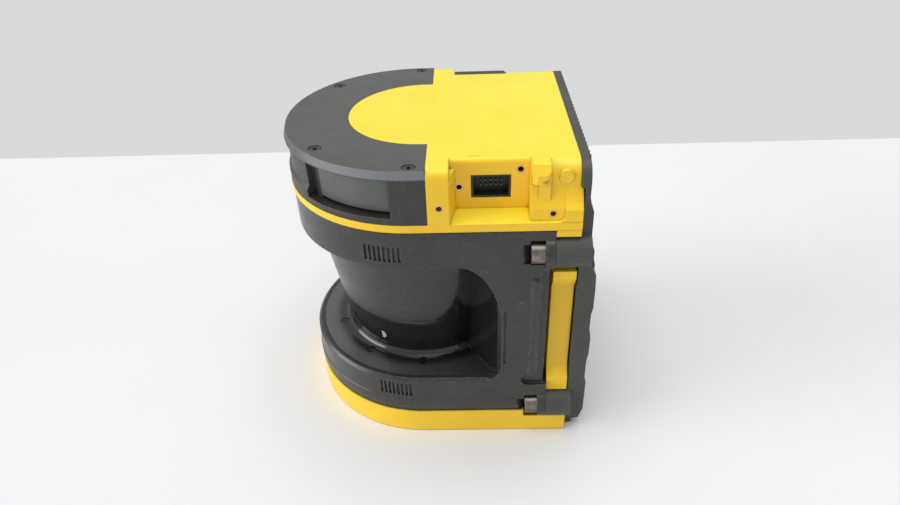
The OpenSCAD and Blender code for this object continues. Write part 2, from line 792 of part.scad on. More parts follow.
// Rear edge of a side flange from below upwards: [height, distance inside the mounting plane]
side_steps = [[6, 2.4], [14, 0], [37, 0], [42, 1], [54, 1], [61, 0.2], [73, 0.2], [80, 1.3], [91, 1.3],
              [95, 0.5], [fin_full_z - 9, 0.5], [fin_full_z, 0.9], [fin_full_z + 4, 3.1], [fin_full_z + 16, 3.2],
              [fin_full_z + 23, 5.4], [fin_full_z + 40, 5.6], [fin_full_z + 48, 8.1], [body_h, 8.1]];
rear_screw_head_r = 4;
rear_shank_r = 2;
rear_screw_at = [[40, 66], [40, rim_z], [40, 12]];

// Side view of a fin: full depth below, sloping in towards the head
module fin_outline(back, top_back) {
    polygon([[plate_y, sink_z], [back - 3, sink_z], [back, sink_z + 5], [back, fin_full_z],
             [back - 5.5, fin_full_z + 26], [back - 5.5, fin_full_z + 41], [top_back, fin_full_z + 48],
             [top_back, body_h], [plate_y, body_h]]);
}

module rear_screw_places() {
    both_sides() for (at = rear_screw_at) translate([at.x, fin_root, at.y]) rotate([-90, 0, 0]) children();
}

module mount_places() {
    both_sides() for (z = [mount_z, mount_z + mount_dz]) translate([mount_dx / 2, rear_y, z]) children();
}

module rear_casting() {
    color(charcoal) difference() {
        union() {
            intersection() {
                union() {
                    // plate with its foot, and the part behind the head
                    span([-sink_half, plate_y, 1], [sink_half, fin_root, body_h]);
                    span([-sink_half, plate_y, 1], [sink_half, fin_root + 1.5, sink_z + 8]);
                    span([-side_x, head_rear + pass, slope_top], [side_x, fin_root, body_h]);
                    for (i = [-(fins - 1) / 2:(fins - 1) / 2])
                        translate([i * fin_pitch, 0, 0]) across(fin_t) fin_outline(rear_y, fin_top);
                    both_sides() translate([side_x - 2.6, 0, 0]) across(5.2)
                        polygon(concat([[plate_y, body_h], [plate_y, 4]], [for (p = side_steps) [rear_y - p.y, p.x]]));
                }
                along_body(head_rear, rear_y + 1) head_section(side_x, head_round + 1.2, 1);
            }
            // the lower arm ends a little ahead of the upper one
            both_sides() for (arm = [[clamp_lo, rear_y - 9], [clamp_hi, rear_y - 5.6]])
                translate([0, 0, arm[0]]) intersection() {
                    clamp_arm(ear_rear + pass, boss_r);
                    across() square([2 * arm[1], 2 * far], center = true);
                }
            mount_places() span([-8, plate_y - rear_y, -8], [8, 0, 8]);
        }
        clamp_places() along_y([0, 0, 0], clamp_shank_r + 0.1, ear_y + clamp_shank_l + 1);
        mount_places() along_y([0, -mount_depth, 0], mount_r, far);
        rear_screw_places() {
            cylinder(r = rear_shank_r + pass, h = far, center = true);
            cylinder(r = rear_screw_head_r + 1, h = far);
        }
    }
}

module rear_gasket() {
    color("#1B1B1B") difference() {
        span([3 - column_half, housing_rear, 6], [column_half - 3, plate_y, hood_z]);
        span([-link_half - 3, housing_rear - 1, link_low - 3], [link_half + 3, plate_y + 1, link_high + 3]);
        rear_screw_places() cylinder(r = rear_shank_r + 0.5, h = far, center = true);
    }
}

module rear_screws() {
    color("#3A3A3A") rear_screw_places() translate([0, 0, 4])
        cap_screw(rear_screw_head_r, 4, rear_shank_r, 7, 1.7, 2);
}

// ---------- ports ----------

pins = 5;

module header_block(inset) {
    span([header_wall - 4, header_y - header_l / 2 + inset, header_z - header_h / 2 + inset],
         [port_floor + pass - 2 * inset, header_y + header_l / 2 - inset, header_z + header_h / 2 - inset]);
}

// Moulded shroud of the side header, open outwards
module header_shroud() {
    color("#161616") difference() {
        union() {
            header_block(pass);
            span([header_wall - 5.2, header_y - header_l / 2 - 1.5, header_z - header_h / 2 - 1.5],
                 [header_wall - pass, header_y + header_l / 2 + 1.5, header_z + header_h / 2 + 1.5]);
        }
        span([port_floor - header_d + 3.4, header_y - header_l / 2 + 1.2, header_z - header_h / 2 + 1.2],
             [far, header_y + header_l / 2 - 1.2, header_z + header_h / 2 - 1.2]);
        header_pin_places() translate([-far / 2, -0.4, -0.4]) cube([far, 0.8, 0.8]);
    }
}

module header_pin_places() {
    for (i = [0:pins - 1], row = [0, 1])
        translate([header_wall, header_y + (i - (pins - 1) / 2) * pin_pitch, header_z + 1 + (row - 0.5) * pin_pitch])
            children();
}

module header_pins() {
    color("#B9B2A0") header_pin_places() translate([-7.4, -0.32, -0.32]) cube([8.4, 0.64, 0.64]);
}

board_x = header_wall - 5.4 - 1.6;

module header_board() {
    color("#1F5B34") difference() {
        span([board_x, header_y - 14, header_z - 10], [board_x + 1.6, header_y + 14, header_z + 8]);
        header_pin_places() translate([-far / 2, -0.4, -0.4]) cube([far, 0.8, 0.8]);
    }
}

// Closed cover in the far port recess
cover_t = 4.8;
cover_top = body_h - 0.6;
cover_face = port_floor + pass + cover_t;

module port_cover() {
    color("#3B3C3C") mirror([1, 0, 0]) difference() {
        translate([port_floor + pass, 0, 0]) rotate([90, 0, 90]) linear_extrude(cover_t)
            polygon([[far_port_y0 + 0.4, port_z + 0.3], [far_port_y1 - 0.3, port_z + 0.3],
                     [far_port_y1 - 0.3, cover_top - 2.4], [far_port_y1 - 2.7, cover_top], [far_port_y0 + 0.4, cover_top]]);
        cover_holes() {
            along_x([0, 0, 0], port_hole_r + pass, far);
            along_x([cover_face - 1.9, 0, 0], 2.9, far);
        }
    }
}

module cover_holes() {
    for (hole = far_port_screws) translate([0, hole.y, hole.z]) children();
}

module port_cover_screws() {
    color("#2E2E2E") mirror([1, 0, 0]) cover_holes() translate([cover_face - 0.2, 0, 0]) rotate([0, 90, 0])
        cap_screw(2.7, 1.7, 1.5, cover_t + 1, 1.2, 1);
}

// ---------- electronics ----------

board_y = housing_rear - cast_wall - 5;
board_w = 100;
board_low = 22;
board_high = rim_z - 4;
board_t = 1.6;

module board_places() {
    both_sides() for (z = [board_low + 6, board_high - 6]) translate([board_w / 2 - 5, board_y, z]) children();
}

module main_board() {
    color("#1F5B34") difference() {
        span([-board_w / 2, board_y - board_t, board_low], [board_w / 2, board_y, board_high]);
        board_places() along_y([0, -5, 0], 1.7, 10);
    }
    color("#202020") {
        span([-16, board_y - board_t - 2.4, 60], [8, board_y - board_t, 84]);
        span([18, board_y - board_t - 5, 40], [38, board_y - board_t, 52]);
        span([-40, board_y - board_t - 7, 100], [-26, board_y - board_t, 114]);
    }
}

module board_standoffs() {
    color("#C8B060") board_places() difference() {
        along_y([0, 0, 0], 3, housing_rear - cast_wall - board_y);
        along_y([0, -1, 0], 1.35, far);
    }
}

module board_screws() {
    color(steel) board_places() translate([0, -board_t - 1.8, 0]) rotate([90, 0, 0])
        cap_screw(2.8, 1.8, 1.25, 5, 1.2, 1);
}

// Board behind the display window, with the status lamps and a two-digit display in front of it
display_half = 14;
lamp_r = 1.2;
display_r = sqrt(pow(body_r - display_t - lining_t, 2) - pow(display_half, 2)) - 0.1;

module on_display() {
    translate(recess_c) rotate(atan2(-recess_run.x, recess_run.y))
        translate([display_r, 0, (window_low + window_high) / 2]) children();
}

module display_board() {
    color("#1F5B34") on_display() translate([-board_t, -display_half, -8]) cube([board_t, 2 * display_half, 16]);
}

module status_leds() {
    color("#D8D8D2") on_display() {
        translate([0, 1, -4.5]) cube([2, 11, 9]);
        for (y = [-11, -7, -3]) translate([0, y, 0]) {
            rotate([0, 90, 0]) cylinder(r = lamp_r, h = lamp_r);
            translate([lamp_r, 0, 0]) sphere(r = 1);
        }
    }
}

// ---------- receiving optics ----------

lens_z = scan_z + 27;
lens_edge = 2;
lens_ball = 45;                    // radius of the lens's curved face
barrel_wall = 4;
barrel_r = lens_r + barrel_wall;
flange_r = 46;
flange_t = 3;
barrel_screw_r = 43;
barrel_shank_r = 1.4;
laser_r = 4.5;
spider_z = lens_z + 11;
laser_top = spider_z + 7;
detector_z = rim_z - 13;
lens_fit = 0.15;

module barrel_screw_places() {
    for (a = [-150, -90, -30]) rotate(a) translate([barrel_screw_r, 0, 0]) children();
}

module lens_barrel() {
    color("#26282A") difference() {
        union() {
            translate([0, 0, lens_z - 1.2]) cylinder(r = barrel_r, h = rim_z - lens_z + 1.2);
            translate([0, 0, rim_z - flange_t]) cylinder(r = flange_r, h = flange_t);
        }
        difference() {
            translate([0, 0, lens_z - 2]) cylinder(r = lens_r + lens_fit, h = far);
            // lens lip, laser spider and the detector board's step
            difference() {
                translate([0, 0, lens_z - 2]) cylinder(r = lens_r + 1, h = 2);
                translate([0, 0, lens_z - 3]) cylinder(r = lens_r - 1.5, h = 4);
            }
            difference() {
                translate([0, 0, spider_z]) {
                    cylinder(r = laser_r + 2.5, h = 4);
                    for (a = [30, 150, 270]) rotate(a) translate([0, -1.2, 0]) cube([lens_r + 1, 2.4, 4]);
                }
                cylinder(r = laser_r + 0.1, h = far);
            }
            difference() {
                translate([0, 0, detector_z - 3]) cylinder(r = lens_r + 1, h = 3);
                cylinder(r = lens_r - 2, h = far);
            }
        }
        barrel_screw_places() cylinder(r = 1.7, h = far);
    }
}

module barrel_screws() {
    color(steel) barrel_screw_places() translate([0, 0, rim_z - flange_t - 1.8]) mirror([0, 0, 1])
        cap_screw(2.7, 1.8, barrel_shank_r, flange_t + 2.8, 1.2, 1);
}

module receiver_lens() {
    color("#B8D4DE", 0.5) difference() {
        intersection() {
            translate([0, 0, lens_z]) cylinder(r = lens_r, h = lens_ball);
            translate([0, 0, lens_z + lens_edge - sqrt(pow(lens_ball, 2) - pow(lens_r, 2))])
                sphere(r = lens_ball);
        }
        cylinder(r = laser_r + pass, h = far);
    }
}

module laser_module() {
    color("#7A6A3C") {
        translate([0, 0, lens_z - 5]) cylinder(r = laser_r, h = laser_top - lens_z + 5);
        translate([0, 0, laser_top]) cylinder(r = laser_r - 1.5, h = 3.5);
    }
}

module receiver_board() {
    color("#1F5B34") translate([0, 0, detector_z]) cylinder(r = lens_r, h = board_t);
}

module photodiode() {
    color("#B9A25A") translate([0, 0, detector_z - 4]) cylinder(r = 4, h = 4);
}

// ---------- motor and mirror ----------

bracket_z = cast_wall + post_h;
bracket_t = 3;
tube_r = bearing_r + 3;
tube_low = 9;
tube_high = 38;
stator_z = 23;
stator_h = 10;
magnet_t = 1.6;
magnet_r = stator_r + run_gap;
bell_r = magnet_r + magnet_t;
bell_wall = 1.6;
bell_top = 40.4;
hub_r = 7;
disc_z = 41;
disc_t = 0.8;
holder_z = 42.2;
seat = 0.05;                       // gap between pieces pressed together
fork_y = 34;

module motor_bracket() {
    color("#A9ABAC") difference() {
        union() {
            for (a = [30, 150, 270]) rotate(a) {
                translate([tube_r - 2, -4.5, bracket_z]) cube([post_r - tube_r + 2, 9, bracket_t]);
                translate([post_r, 0, bracket_z]) cylinder(r = 5, h = bracket_t);
            }
            translate([-3, 0, bracket_z]) cube([6, fork_y + 4, bracket_t]);
            translate([-3, fork_y - 4, bracket_z]) cube([6, 8, disc_z - 4.3 - bracket_z]);
            translate([0, 0, tube_low]) cylinder(r = tube_r, h = tube_high - tube_low);
        }
        translate([0, 0, tube_low - 1]) cylinder(r = bearing_r - 1, h = far);
        translate([0, 0, tube_low - 1]) cylinder(r = bearing_r + seat, h = 1 + bearing_w + 0.2);
        translate([0, 0, tube_high - bearing_w - 0.2]) cylinder(r = bearing_r + seat, h = far);
        for (a = [30, 150, 270]) rotate(a) translate([post_r, 0, 0]) cylinder(r = 1.8, h = far);
    }
}

module bracket_screws() {
    color(steel) for (a = [30, 150, 270]) rotate(a) translate([post_r, 0, bracket_z + bracket_t + 2])
        cap_screw(2.9, 2, 1.5, 8, 1.3, 1.2);
}

module bearing(z) {
    color("#C4C6C8") translate([0, 0, z]) difference() {
        cylinder(r = bearing_r, h = bearing_w);
        translate([0, 0, -1]) cylinder(r = shaft_r + shaft_fit, h = bearing_w + 2);
        for (face = [-0.5, bearing_w - 0.5]) translate([0, 0, face]) difference() {
            cylinder(r = bearing_r - 1, h = 1);
            translate([0, 0, -1]) cylinder(r = shaft_r + 1, h = 3);
        }
    }
}

module lower_bearing() { bearing(tube_low + 0.2); }

module upper_bearing() { bearing(tube_high - bearing_w - 0.1); }

// Laminated star with its windings between two yokes
module motor_stator() {
    color("#9A6A3A") translate([0, 0, stator_z]) difference() {
        union() {
            cylinder(r = tube_r + 2, h = stator_h);
            for (a = [0:40:320]) rotate(a) {
                translate([0, -1.4, 1]) cube([stator_r - 1.4, 2.8, stator_h - 2]);
                intersection() {
                    translate([stator_r - 2.4, -4, 1]) cube([4, 8, stator_h - 2]);
                    difference() {
                        cylinder(r = stator_r, h = stator_h);
                        translate([0, 0, -1]) cylinder(r = stator_r - 1.4, h = stator_h + 2);
                    }
                }
            }
        }
        translate([0, 0, -1]) cylinder(r = tube_r + seat, h = stator_h + 2);
    }
}

module encoder_sensor() {
    color("#1A1A1A") translate([0, fork_y, 0]) difference() {
        span([-4, -7.5, disc_z - 4], [4, 4, disc_z + 5]);
        span([-5, -8.5, disc_z - 1.4], [5, encoder_r + 1.4 - fork_y, disc_z + disc_t + 1.4]);
    }
}

module rotor_shaft() {
    color("#C9CCCE") translate([0, 0, tube_low]) cylinder(r = shaft_r, h = holder_z + 6 - tube_low);
}

module rotor_bell() {
    color("#7F8384") difference() {
        translate([0, 0, stator_z - 0.5]) cylinder(r = bell_r + bell_wall, h = bell_top - stator_z + 0.5);
        translate([0, 0, stator_z - 1]) cylinder(r = bell_r, h = bell_top - 2 - stator_z + 1);
        cylinder(r = shaft_r + seat, h = far);
    }
}

module magnet_ring() {
    color("#3C3C40") translate([0, 0, stator_z]) difference() {
        cylinder(r = bell_r - seat, h = stator_h);
        translate([0, 0, -1]) cylinder(r = magnet_r, h = stator_h + 2);
    }
}

module encoder_disc() {
    color("#D9DCDD") translate([0, 0, disc_z]) difference() {
        cylinder(r = encoder_r, h = disc_t);
        translate([0, 0, -1]) cylinder(r = hub_r + seat, h = disc_t + 2);
        for (a = [0:15:345]) rotate(a) translate([encoder_r - 3.5, -1.2, -1]) cube([2.4, 2.4, disc_t + 2]);
    }
}

// Half space below the mirror's face, lowered by t along its normal
module below_mirror(t) {
    translate([0, 0, scan_z]) rotate([45, 0, 0]) translate([-far, -far, -2 * far - t]) cube(2 * far);
}

module mirror_holder() {
    color("#2A2B2D") difference() {
        union() {
            intersection() {
                translate([0, 0, holder_z]) cylinder(r = holder_r, h = far);
                below_mirror(mirror_t + seat);
            }
            translate([0, 0, bell_top]) cylinder(r = hub_r, h = holder_z - bell_top + 0.01);
        }
        translate([0, 0, bell_top - 1]) cylinder(r = shaft_r + seat, h = holder_z + 6 - bell_top + 1.2);
    }
}

module mirror_plate() {
    color("#E3E8EA") intersection() {
        translate([0, 0, holder_z + 1]) cylinder(r = holder_r - 0.5, h = far);
        below_mirror(0);
        difference() {
            translate([-far, -far, 0]) cube([2 * far, 2 * far, far]);
            below_mirror(mirror_t);
        }
    }
}

housing();
top_plate();
front_hood();
display_window();
indicator_window();
hood_screws();
optics_cover();
scan_window();
window_sensors();
cover_seal_top();
cover_seal_bottom();
clamp_screws();
rear_casting();
rear_gasket();
rear_screws();
header_shroud();
header_pins();
header_board();
port_cover();
port_cover_screws();
main_board();
board_standoffs();
board_screws();
display_board();
status_leds();
lens_barrel();
barrel_screws();
receiver_lens();
laser_module();
receiver_board();
photodiode();
motor_bracket();
bracket_screws();
motor_stator();
lower_bearing();
upper_bearing();
encoder_sensor();
rotor_shaft();
rotor_bell();
magnet_ring();
encoder_disc();
mirror_holder();
mirror_plate();
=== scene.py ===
"""Looks of the safety laser scanner: the camera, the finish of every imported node, two small pieces that ride on the
body, the table and the light. Lengths are in metres in the part's own frame, or in millimetres where a name ends
in _mm."""
import json
import math

import bpy
import numpy as np
from mathutils import Matrix


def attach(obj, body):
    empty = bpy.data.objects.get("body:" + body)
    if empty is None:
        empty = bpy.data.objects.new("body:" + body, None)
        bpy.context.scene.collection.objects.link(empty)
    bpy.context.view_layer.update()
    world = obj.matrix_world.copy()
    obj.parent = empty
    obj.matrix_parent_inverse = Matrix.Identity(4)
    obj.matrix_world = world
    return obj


MM = 0.001

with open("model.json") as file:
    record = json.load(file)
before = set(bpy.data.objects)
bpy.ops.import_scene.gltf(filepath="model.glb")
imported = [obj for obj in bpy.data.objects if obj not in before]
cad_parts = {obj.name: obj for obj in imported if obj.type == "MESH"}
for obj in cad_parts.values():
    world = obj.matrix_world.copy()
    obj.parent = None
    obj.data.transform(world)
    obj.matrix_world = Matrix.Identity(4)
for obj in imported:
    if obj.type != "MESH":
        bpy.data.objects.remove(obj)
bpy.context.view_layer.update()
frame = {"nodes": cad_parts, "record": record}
scene = bpy.context.scene

# ---------- camera ----------

# Where the camera stands, how it is turned and its lens, fitted to the object's straight edges
CAMERA_AT = (0.36273, 0.03013, 0.33589)
CAMERA_AZIMUTH, CAMERA_ELEVATION, CAMERA_ROLL = math.radians(92.02), math.radians(34.54), math.radians(-2.21)
LENS_MM, SENSOR_WIDTH_MM = 26.71, 36.0
NEAREST_SEEN, FURTHEST_SEEN = 0.01, 20.0


def camera_axes(azimuth, elevation, roll):
    """Right, up and back of a camera: back points from the object to the camera, right is back's level
    neighbour, and both right and up are then turned about back by the roll."""
    back = np.array([math.sin(azimuth) * math.cos(elevation), -math.cos(azimuth) * math.cos(elevation),
                     math.sin(elevation)])
    right = np.cross(-back, [0.0, 0.0, 1.0])
    right /= np.linalg.norm(right)
    up = np.cross(back, right)
    return math.cos(roll) * right + math.sin(roll) * up, math.cos(roll) * up - math.sin(roll) * right, back


def turned_to(right, up, back, at=(0.0, 0.0, 0.0)):
    """The matrix that gives a camera or a lamp its three axes and its place."""
    matrix = np.eye(4)
    matrix[:3] = np.stack([right, up, back, at], axis=-1)
    return Matrix(matrix.tolist())


def add_camera():
    """The camera, in place and in use."""
    camera = bpy.data.objects.new("camera", bpy.data.cameras.new("camera"))
    scene.collection.objects.link(camera)
    camera.data.sensor_width, camera.data.lens = SENSOR_WIDTH_MM, LENS_MM
    camera.data.clip_start, camera.data.clip_end = NEAREST_SEEN, FURTHEST_SEEN
    camera.matrix_world = turned_to(*camera_axes(CAMERA_AZIMUTH, CAMERA_ELEVATION, CAMERA_ROLL), CAMERA_AT)
    scene.camera = camera


add_camera()

# ---------- material tools ----------


def linear(hex_colour):
    """Linear RGBA of an sRGB hex colour: each channel is divided by 12.92 up to 0.04045, and above that its
    offset of 0.055 is taken out and it is raised to 2.4. Alpha is 1."""
    channels = [int(hex_colour[i:i + 2], 16) / 255 for i in (1, 3, 5)]
    return tuple(c / 12.92 if c <= 0.04045 else ((c + 0.055) / 1.055) ** 2.4 for c in channels) + (1.0,)


def add(tree, kind, inputs=None, output=None, stops=(), **settings):
    """Adds one node, sets its properties and colour stops, and gives its inputs, by name or number, a value or
    another node's output. Returns the named output, or else the first one in use."""
    node = tree.nodes.new(kind)
    for name, value in settings.items():
        setattr(node, name, value)
    for key, value in (inputs or {}).items():
        socket = node.inputs[key] if isinstance(key, int) else next(
            s for s in node.inputs if s.name == key and s.enabled)
        if isinstance(value, bpy.types.NodeSocket):
            tree.links.new(value, socket)
        else:
            socket.default_value = value
    for index, (position, colour) in enumerate(stops):
        marks = node.color_ramp.elements
        mark = marks[index] if index < 2 else marks.new(position)  # a new ramp has two marks
        mark.position, mark.color = position, linear(colour)
    if output:
        return node.outputs[output]
    return next((socket for socket in node.outputs if socket.enabled), None)


def new_material(name):
    """An empty material; returns it with its node tree and its object coordinates."""
    material = bpy.data.materials.new(name)
    material.use_nodes = True
    tree = material.node_tree
    tree.nodes.clear()
    return material, tree, add(tree, "ShaderNodeTexCoord", output="Object")


def finished(material, shader):
    """Gives a material its shader."""
    add(material.node_tree, "ShaderNodeOutputMaterial", {"Surface": shader})
    return material


def per_metre(size_mm):
    """Scale of a pattern whose lumps are size_mm across."""
    return 1000.0 / size_mm


def patches(tree, place, size_mm, start, full, most=1.0, least=0.0, detail=4.0, broken=0.5):
    """Uneven patches size_mm across: the least where the noise is below start, rising to the most at full.
    Detail and broken say how finely and how roughly their edges break up."""
    noise = add(tree, "ShaderNodeTexNoise", {"Vector": place, "Scale": per_metre(size_mm), "Detail": detail,
                                             "Roughness": broken})
    return add(tree, "ShaderNodeMapRange", {"Value": noise, "From Min": start, "From Max": full,
                                            "To Min": least, "To Max": most})


def mottled(tree, place, size_mm, stops, detail=4.0, broken=0.5):
    """A colour that drifts between the stops in clouds size_mm across."""
    clouds = add(tree, "ShaderNodeTexNoise", {"Vector": place, "Scale": per_metre(size_mm), "Detail": detail,
                                              "Roughness": broken})
    return add(tree, "ShaderNodeValToRGB", {"Fac": clouds}, stops=stops)


def grained_face(tree, place, grain_mm, depth_mm, edge_mm, detail=2.0):
    """Normal of a face whose grain is grain_mm across and depth_mm deep, and whose sharp edges are broken by
    edge_mm."""
    grain = add(tree, "ShaderNodeTexNoise", {"Vector": place, "Scale": per_metre(grain_mm), "Detail": detail})
    edge = add(tree, "ShaderNodeBevel", {"Radius": edge_mm * MM}, samples=4)
    return add(tree, "ShaderNodeBump", {"Height": grain, "Distance": depth_mm * MM, "Normal": edge})


def looks_up(tree):
    """How far a face looks up: 1 when it lies level, 0 when it stands upright, and less than 0 underneath."""
    normal = add(tree, "ShaderNodeNewGeometry", output="Normal")
    return add(tree, "ShaderNodeSeparateXYZ", {"Vector": normal}, output="Z")


def in_corners(tree, place, reach_mm, most):
    """Dirt and painted shade: 0 in the open, rising to the most in corners tighter than reach_mm, and uneven."""
    open_sky = add(tree, "ShaderNodeAmbientOcclusion", {"Distance": reach_mm * MM}, output="AO", samples=6)
    shut_in = add(tree, "ShaderNodeMapRange", {"Value": open_sky, "From Min": 0.78, "From Max": 0.3})
    kept = patches(tree, place, size_mm=9, start=0.3, full=0.62, most=most, least=0.35 * most)
    return add(tree, "ShaderNodeMath", {0: shut_in, 1: kept}, operation="MULTIPLY")


def on_edges(tree, place, radius_mm, most):
    """Paler edges, worn by handling, and on the ABS mouldings also a painted highlight where they catch the
    light: 0 on flat faces, rising to the most where a face turns within radius_mm, in patches. The turn shows
    as the true normal and the one rounded over that radius falling apart."""
    rounded = add(tree, "ShaderNodeBevel", {"Radius": radius_mm * MM}, samples=4)
    true = add(tree, "ShaderNodeNewGeometry", output="Normal")
    alike = add(tree, "ShaderNodeVectorMath", {0: rounded, 1: true}, output="Value", operation="DOT_PRODUCT")
    turned = add(tree, "ShaderNodeMapRange", {"Value": alike, "From Min": 0.985, "From Max": 0.86})
    kept = patches(tree, place, size_mm=3, start=0.42, full=0.6, most=most, detail=5.0, broken=0.65)
    return add(tree, "ShaderNodeMath", {0: turned, 1: kept}, operation="MULTIPLY")


def scuff_at(tree, place, middle_mm, half_mm, most):
    """One placed mark: up to the most inside an ellipsoid of the given half sizes, broken up into streaks
    about a quarter as wide as the mark."""
    fitted = add(tree, "ShaderNodeMapping", {
        "Vector": place, "Location": [-m / h for m, h in zip(middle_mm, half_mm)],
        "Scale": [1.0 / (h * MM) for h in half_mm]})
    away = add(tree, "ShaderNodeVectorMath", {0: fitted}, output="Value", operation="LENGTH")
    inside = add(tree, "ShaderNodeMapRange", {"Value": away, "From Min": 1.0, "From Max": 0.7})
    streaks = add(tree, "ShaderNodeTexNoise", {"Vector": fitted, "Scale": 2.2, "Detail": 4.0, "Roughness": 0.7})
    broken = add(tree, "ShaderNodeMapRange", {"Value": streaks, "From Min": 0.4, "From Max": 0.5, "To Max": most})
    return add(tree, "ShaderNodeMath", {0: inside, 1: broken}, operation="MULTIPLY")


def hairlines(tree, place, most):
    """Hairline scratches: the thin lines along which a smooth, drawn-out noise crosses its middle value, kept
    only in patches where the part is handled."""
    drawn_out = add(tree, "ShaderNodeMapping", {"Vector": place, "Scale": (0.5, 1.0, 2.6)})
    waves = add(tree, "ShaderNodeTexNoise", {"Vector": drawn_out, "Scale": per_metre(22), "Detail": 2.0,
                                             "Roughness": 0.4})
    middle = add(tree, "ShaderNodeMath", {0: waves, 1: 0.5}, operation="SUBTRACT")
    off_line = add(tree, "ShaderNodeMath", {0: middle}, operation="ABSOLUTE")
    line = add(tree, "ShaderNodeMapRange", {"Value": off_line, "From Min": 0.0016, "From Max": 0.0})
    handled = patches(tree, place, size_mm=16, start=0.60, full=0.66, most=most, detail=1.0)
    return add(tree, "ShaderNodeMath", {0: line, 1: handled}, operation="MULTIPLY")


def reflection_along_bevel(tree, place, most):
    """A painted reflection of the light on the bevel round the top: on nearly upright faces that look up a little,
    rising to the most from 45 to 72 mm to either side of the middle."""
    a_little, give_or_take = 0.26, 0.16
    on_bevel = add(tree, "ShaderNodeMath", {0: looks_up(tree), 1: a_little, 2: give_or_take}, operation="COMPARE")
    sideways = add(tree, "ShaderNodeSeparateXYZ", {"Vector": place}, output="X")
    off_middle = add(tree, "ShaderNodeMath", {0: sideways}, operation="ABSOLUTE")
    at_sides = add(tree, "ShaderNodeMapRange", {"Value": off_middle, "From Min": 45 * MM, "From Max": 72 * MM,
                                                "To Max": most})
    return add(tree, "ShaderNodeMath", {0: on_bevel, 1: at_sides}, operation="MULTIPLY")


# ---------- materials ----------

# Scuffs on the yellow paint: middle and half sizes in millimetres, and how much of the brown shows
SCUFFS = (
    ((58.5, 33.0, 185.0), (0.6, 5.2, 3.0), 0.45),  # on the top face, beside the port
    ((72.5, 68.6, 176.4), (6.0, 2.2, 1.2), 0.8),  # across the hook
    ((72.5, 63.2, 174.2), (6.0, 2.6, 0.8), 0.6),  # below it
)


def yellow_powder_coat():
    """Signal yellow powder coat on a zinc casting, semi-gloss. The eye sees a fine orange peel, rub marks from
    handling, dark specks, brown dirt and painted shade in corners and seams, and the placed scuffs. Faces that
    look up are painted a paler lemon yellow and upright ones a deeper yellow: painted light and shade for the
    light from above. The peel is drawn 1.2 mm across, about twice its real size, so that it shows."""
    material, tree, place = new_material("yellow_powder_coat")
    # Painted light and shade: paler lemon paint on faces that look up, deeper yellow on upright ones.
    deep = mottled(tree, place, size_mm=45, stops=[(0.35, "#F4C520"), (0.65, "#FACE27")], detail=3.0)
    pale = mottled(tree, place, size_mm=45, stops=[(0.35, "#F8DE32"), (0.65, "#FAE53C")], detail=3.0)
    lit_from_above = add(tree, "ShaderNodeMapRange", {"Value": looks_up(tree), "From Min": 0.5, "From Max": 0.95})
    paint = add(tree, "ShaderNodeMix", {"Factor": lit_from_above, "A": deep, "B": pale}, data_type="RGBA")
    drawn_out = add(tree, "ShaderNodeMapping", {"Vector": place, "Scale": (1.0, 0.35, 1.0)})
    rubbed = patches(tree, drawn_out, size_mm=5, start=0.64, full=0.74, most=0.3, detail=6.0, broken=0.7)
    specks = patches(tree, place, size_mm=1.3, start=0.785, full=0.81, most=0.6, detail=1.0)
    # Brown dirt and painted shade in corners and seams.
    grime_and_shade = in_corners(tree, place, reach_mm=1.8, most=0.8)
    worn = on_edges(tree, place, radius_mm=0.5, most=0.35)
    layers = [(rubbed, "#AD7F1C"), (specks, "#5E4A18"), (grime_and_shade, "#66490F"), (worn, "#C79A3A")]
    layers += [(scuff_at(tree, place, *scuff), "#6E5426") for scuff in SCUFFS]
    for share, tint in layers:
        paint = add(tree, "ShaderNodeMix", {"Factor": share, "A": paint, "B": linear(tint)}, data_type="RGBA")
    gloss = patches(tree, place, size_mm=14, start=0.3, full=0.7, most=0.48, least=0.34)
    coat = add(tree, "ShaderNodeBsdfPrincipled", {
        "Base Color": paint, "Roughness": gloss, "IOR": 1.5,
        "Normal": grained_face(tree, place, grain_mm=1.2, depth_mm=0.02, edge_mm=1.0)})
    return finished(material, coat)


def moulded_abs(name, dark, light, grain_mm, rough, scratched, bevel_sheen=0.0):
    """Charcoal ABS out of a spark-eroded mould: an even matt grain, paler in dusty places and on edges, where the
    edges are partly rubbed and partly painted with a highlight, painted shade near black in seams and slots, and
    hairline scratches where it is handled. Where the bevel's share is given, a pale bluish painted reflection
    lies along the bevel on both sides. The grain is drawn about twice as coarse as the real one, so that it shows."""
    material, tree, place = new_material(name)
    colour = mottled(tree, place, size_mm=35, stops=[(0.3, dark), (0.7, light)], broken=0.6)
    dusty = patches(tree, place, size_mm=3.5, start=0.55, full=0.85, most=0.2, detail=6.0, broken=0.7)
    layers = [(dusty, "#8A8882"), (hairlines(tree, place, scratched), "#9A9892")]
    # Painted reflection: a pale bluish band along both sides of the bevel.
    if bevel_sheen:
        layers += [(reflection_along_bevel(tree, place, bevel_sheen), "#9AA0A8")]
    # Paler edges, partly wear and partly painted highlight; near black painted shade in seams and slots.
    layers += [(on_edges(tree, place, radius_mm=0.9, most=0.5), "#8E8C87"),
               (in_corners(tree, place, reach_mm=4.0, most=0.6), "#161513")]
    for share, tint in layers:
        colour = add(tree, "ShaderNodeMix", {"Factor": share, "A": colour, "B": linear(tint)}, data_type="RGBA")
    gloss = patches(tree, place, size_mm=12, start=0.3, full=0.7, most=rough + 0.05, least=rough - 0.05)
    plastic = add(tree, "ShaderNodeBsdfPrincipled", {
        "Base Color": colour, "Roughness": gloss, "IOR": 1.53,
        "Normal": grained_face(tree, place, grain_mm, depth_mm=0.03, edge_mm=0.9)})
    return finished(material, plastic)


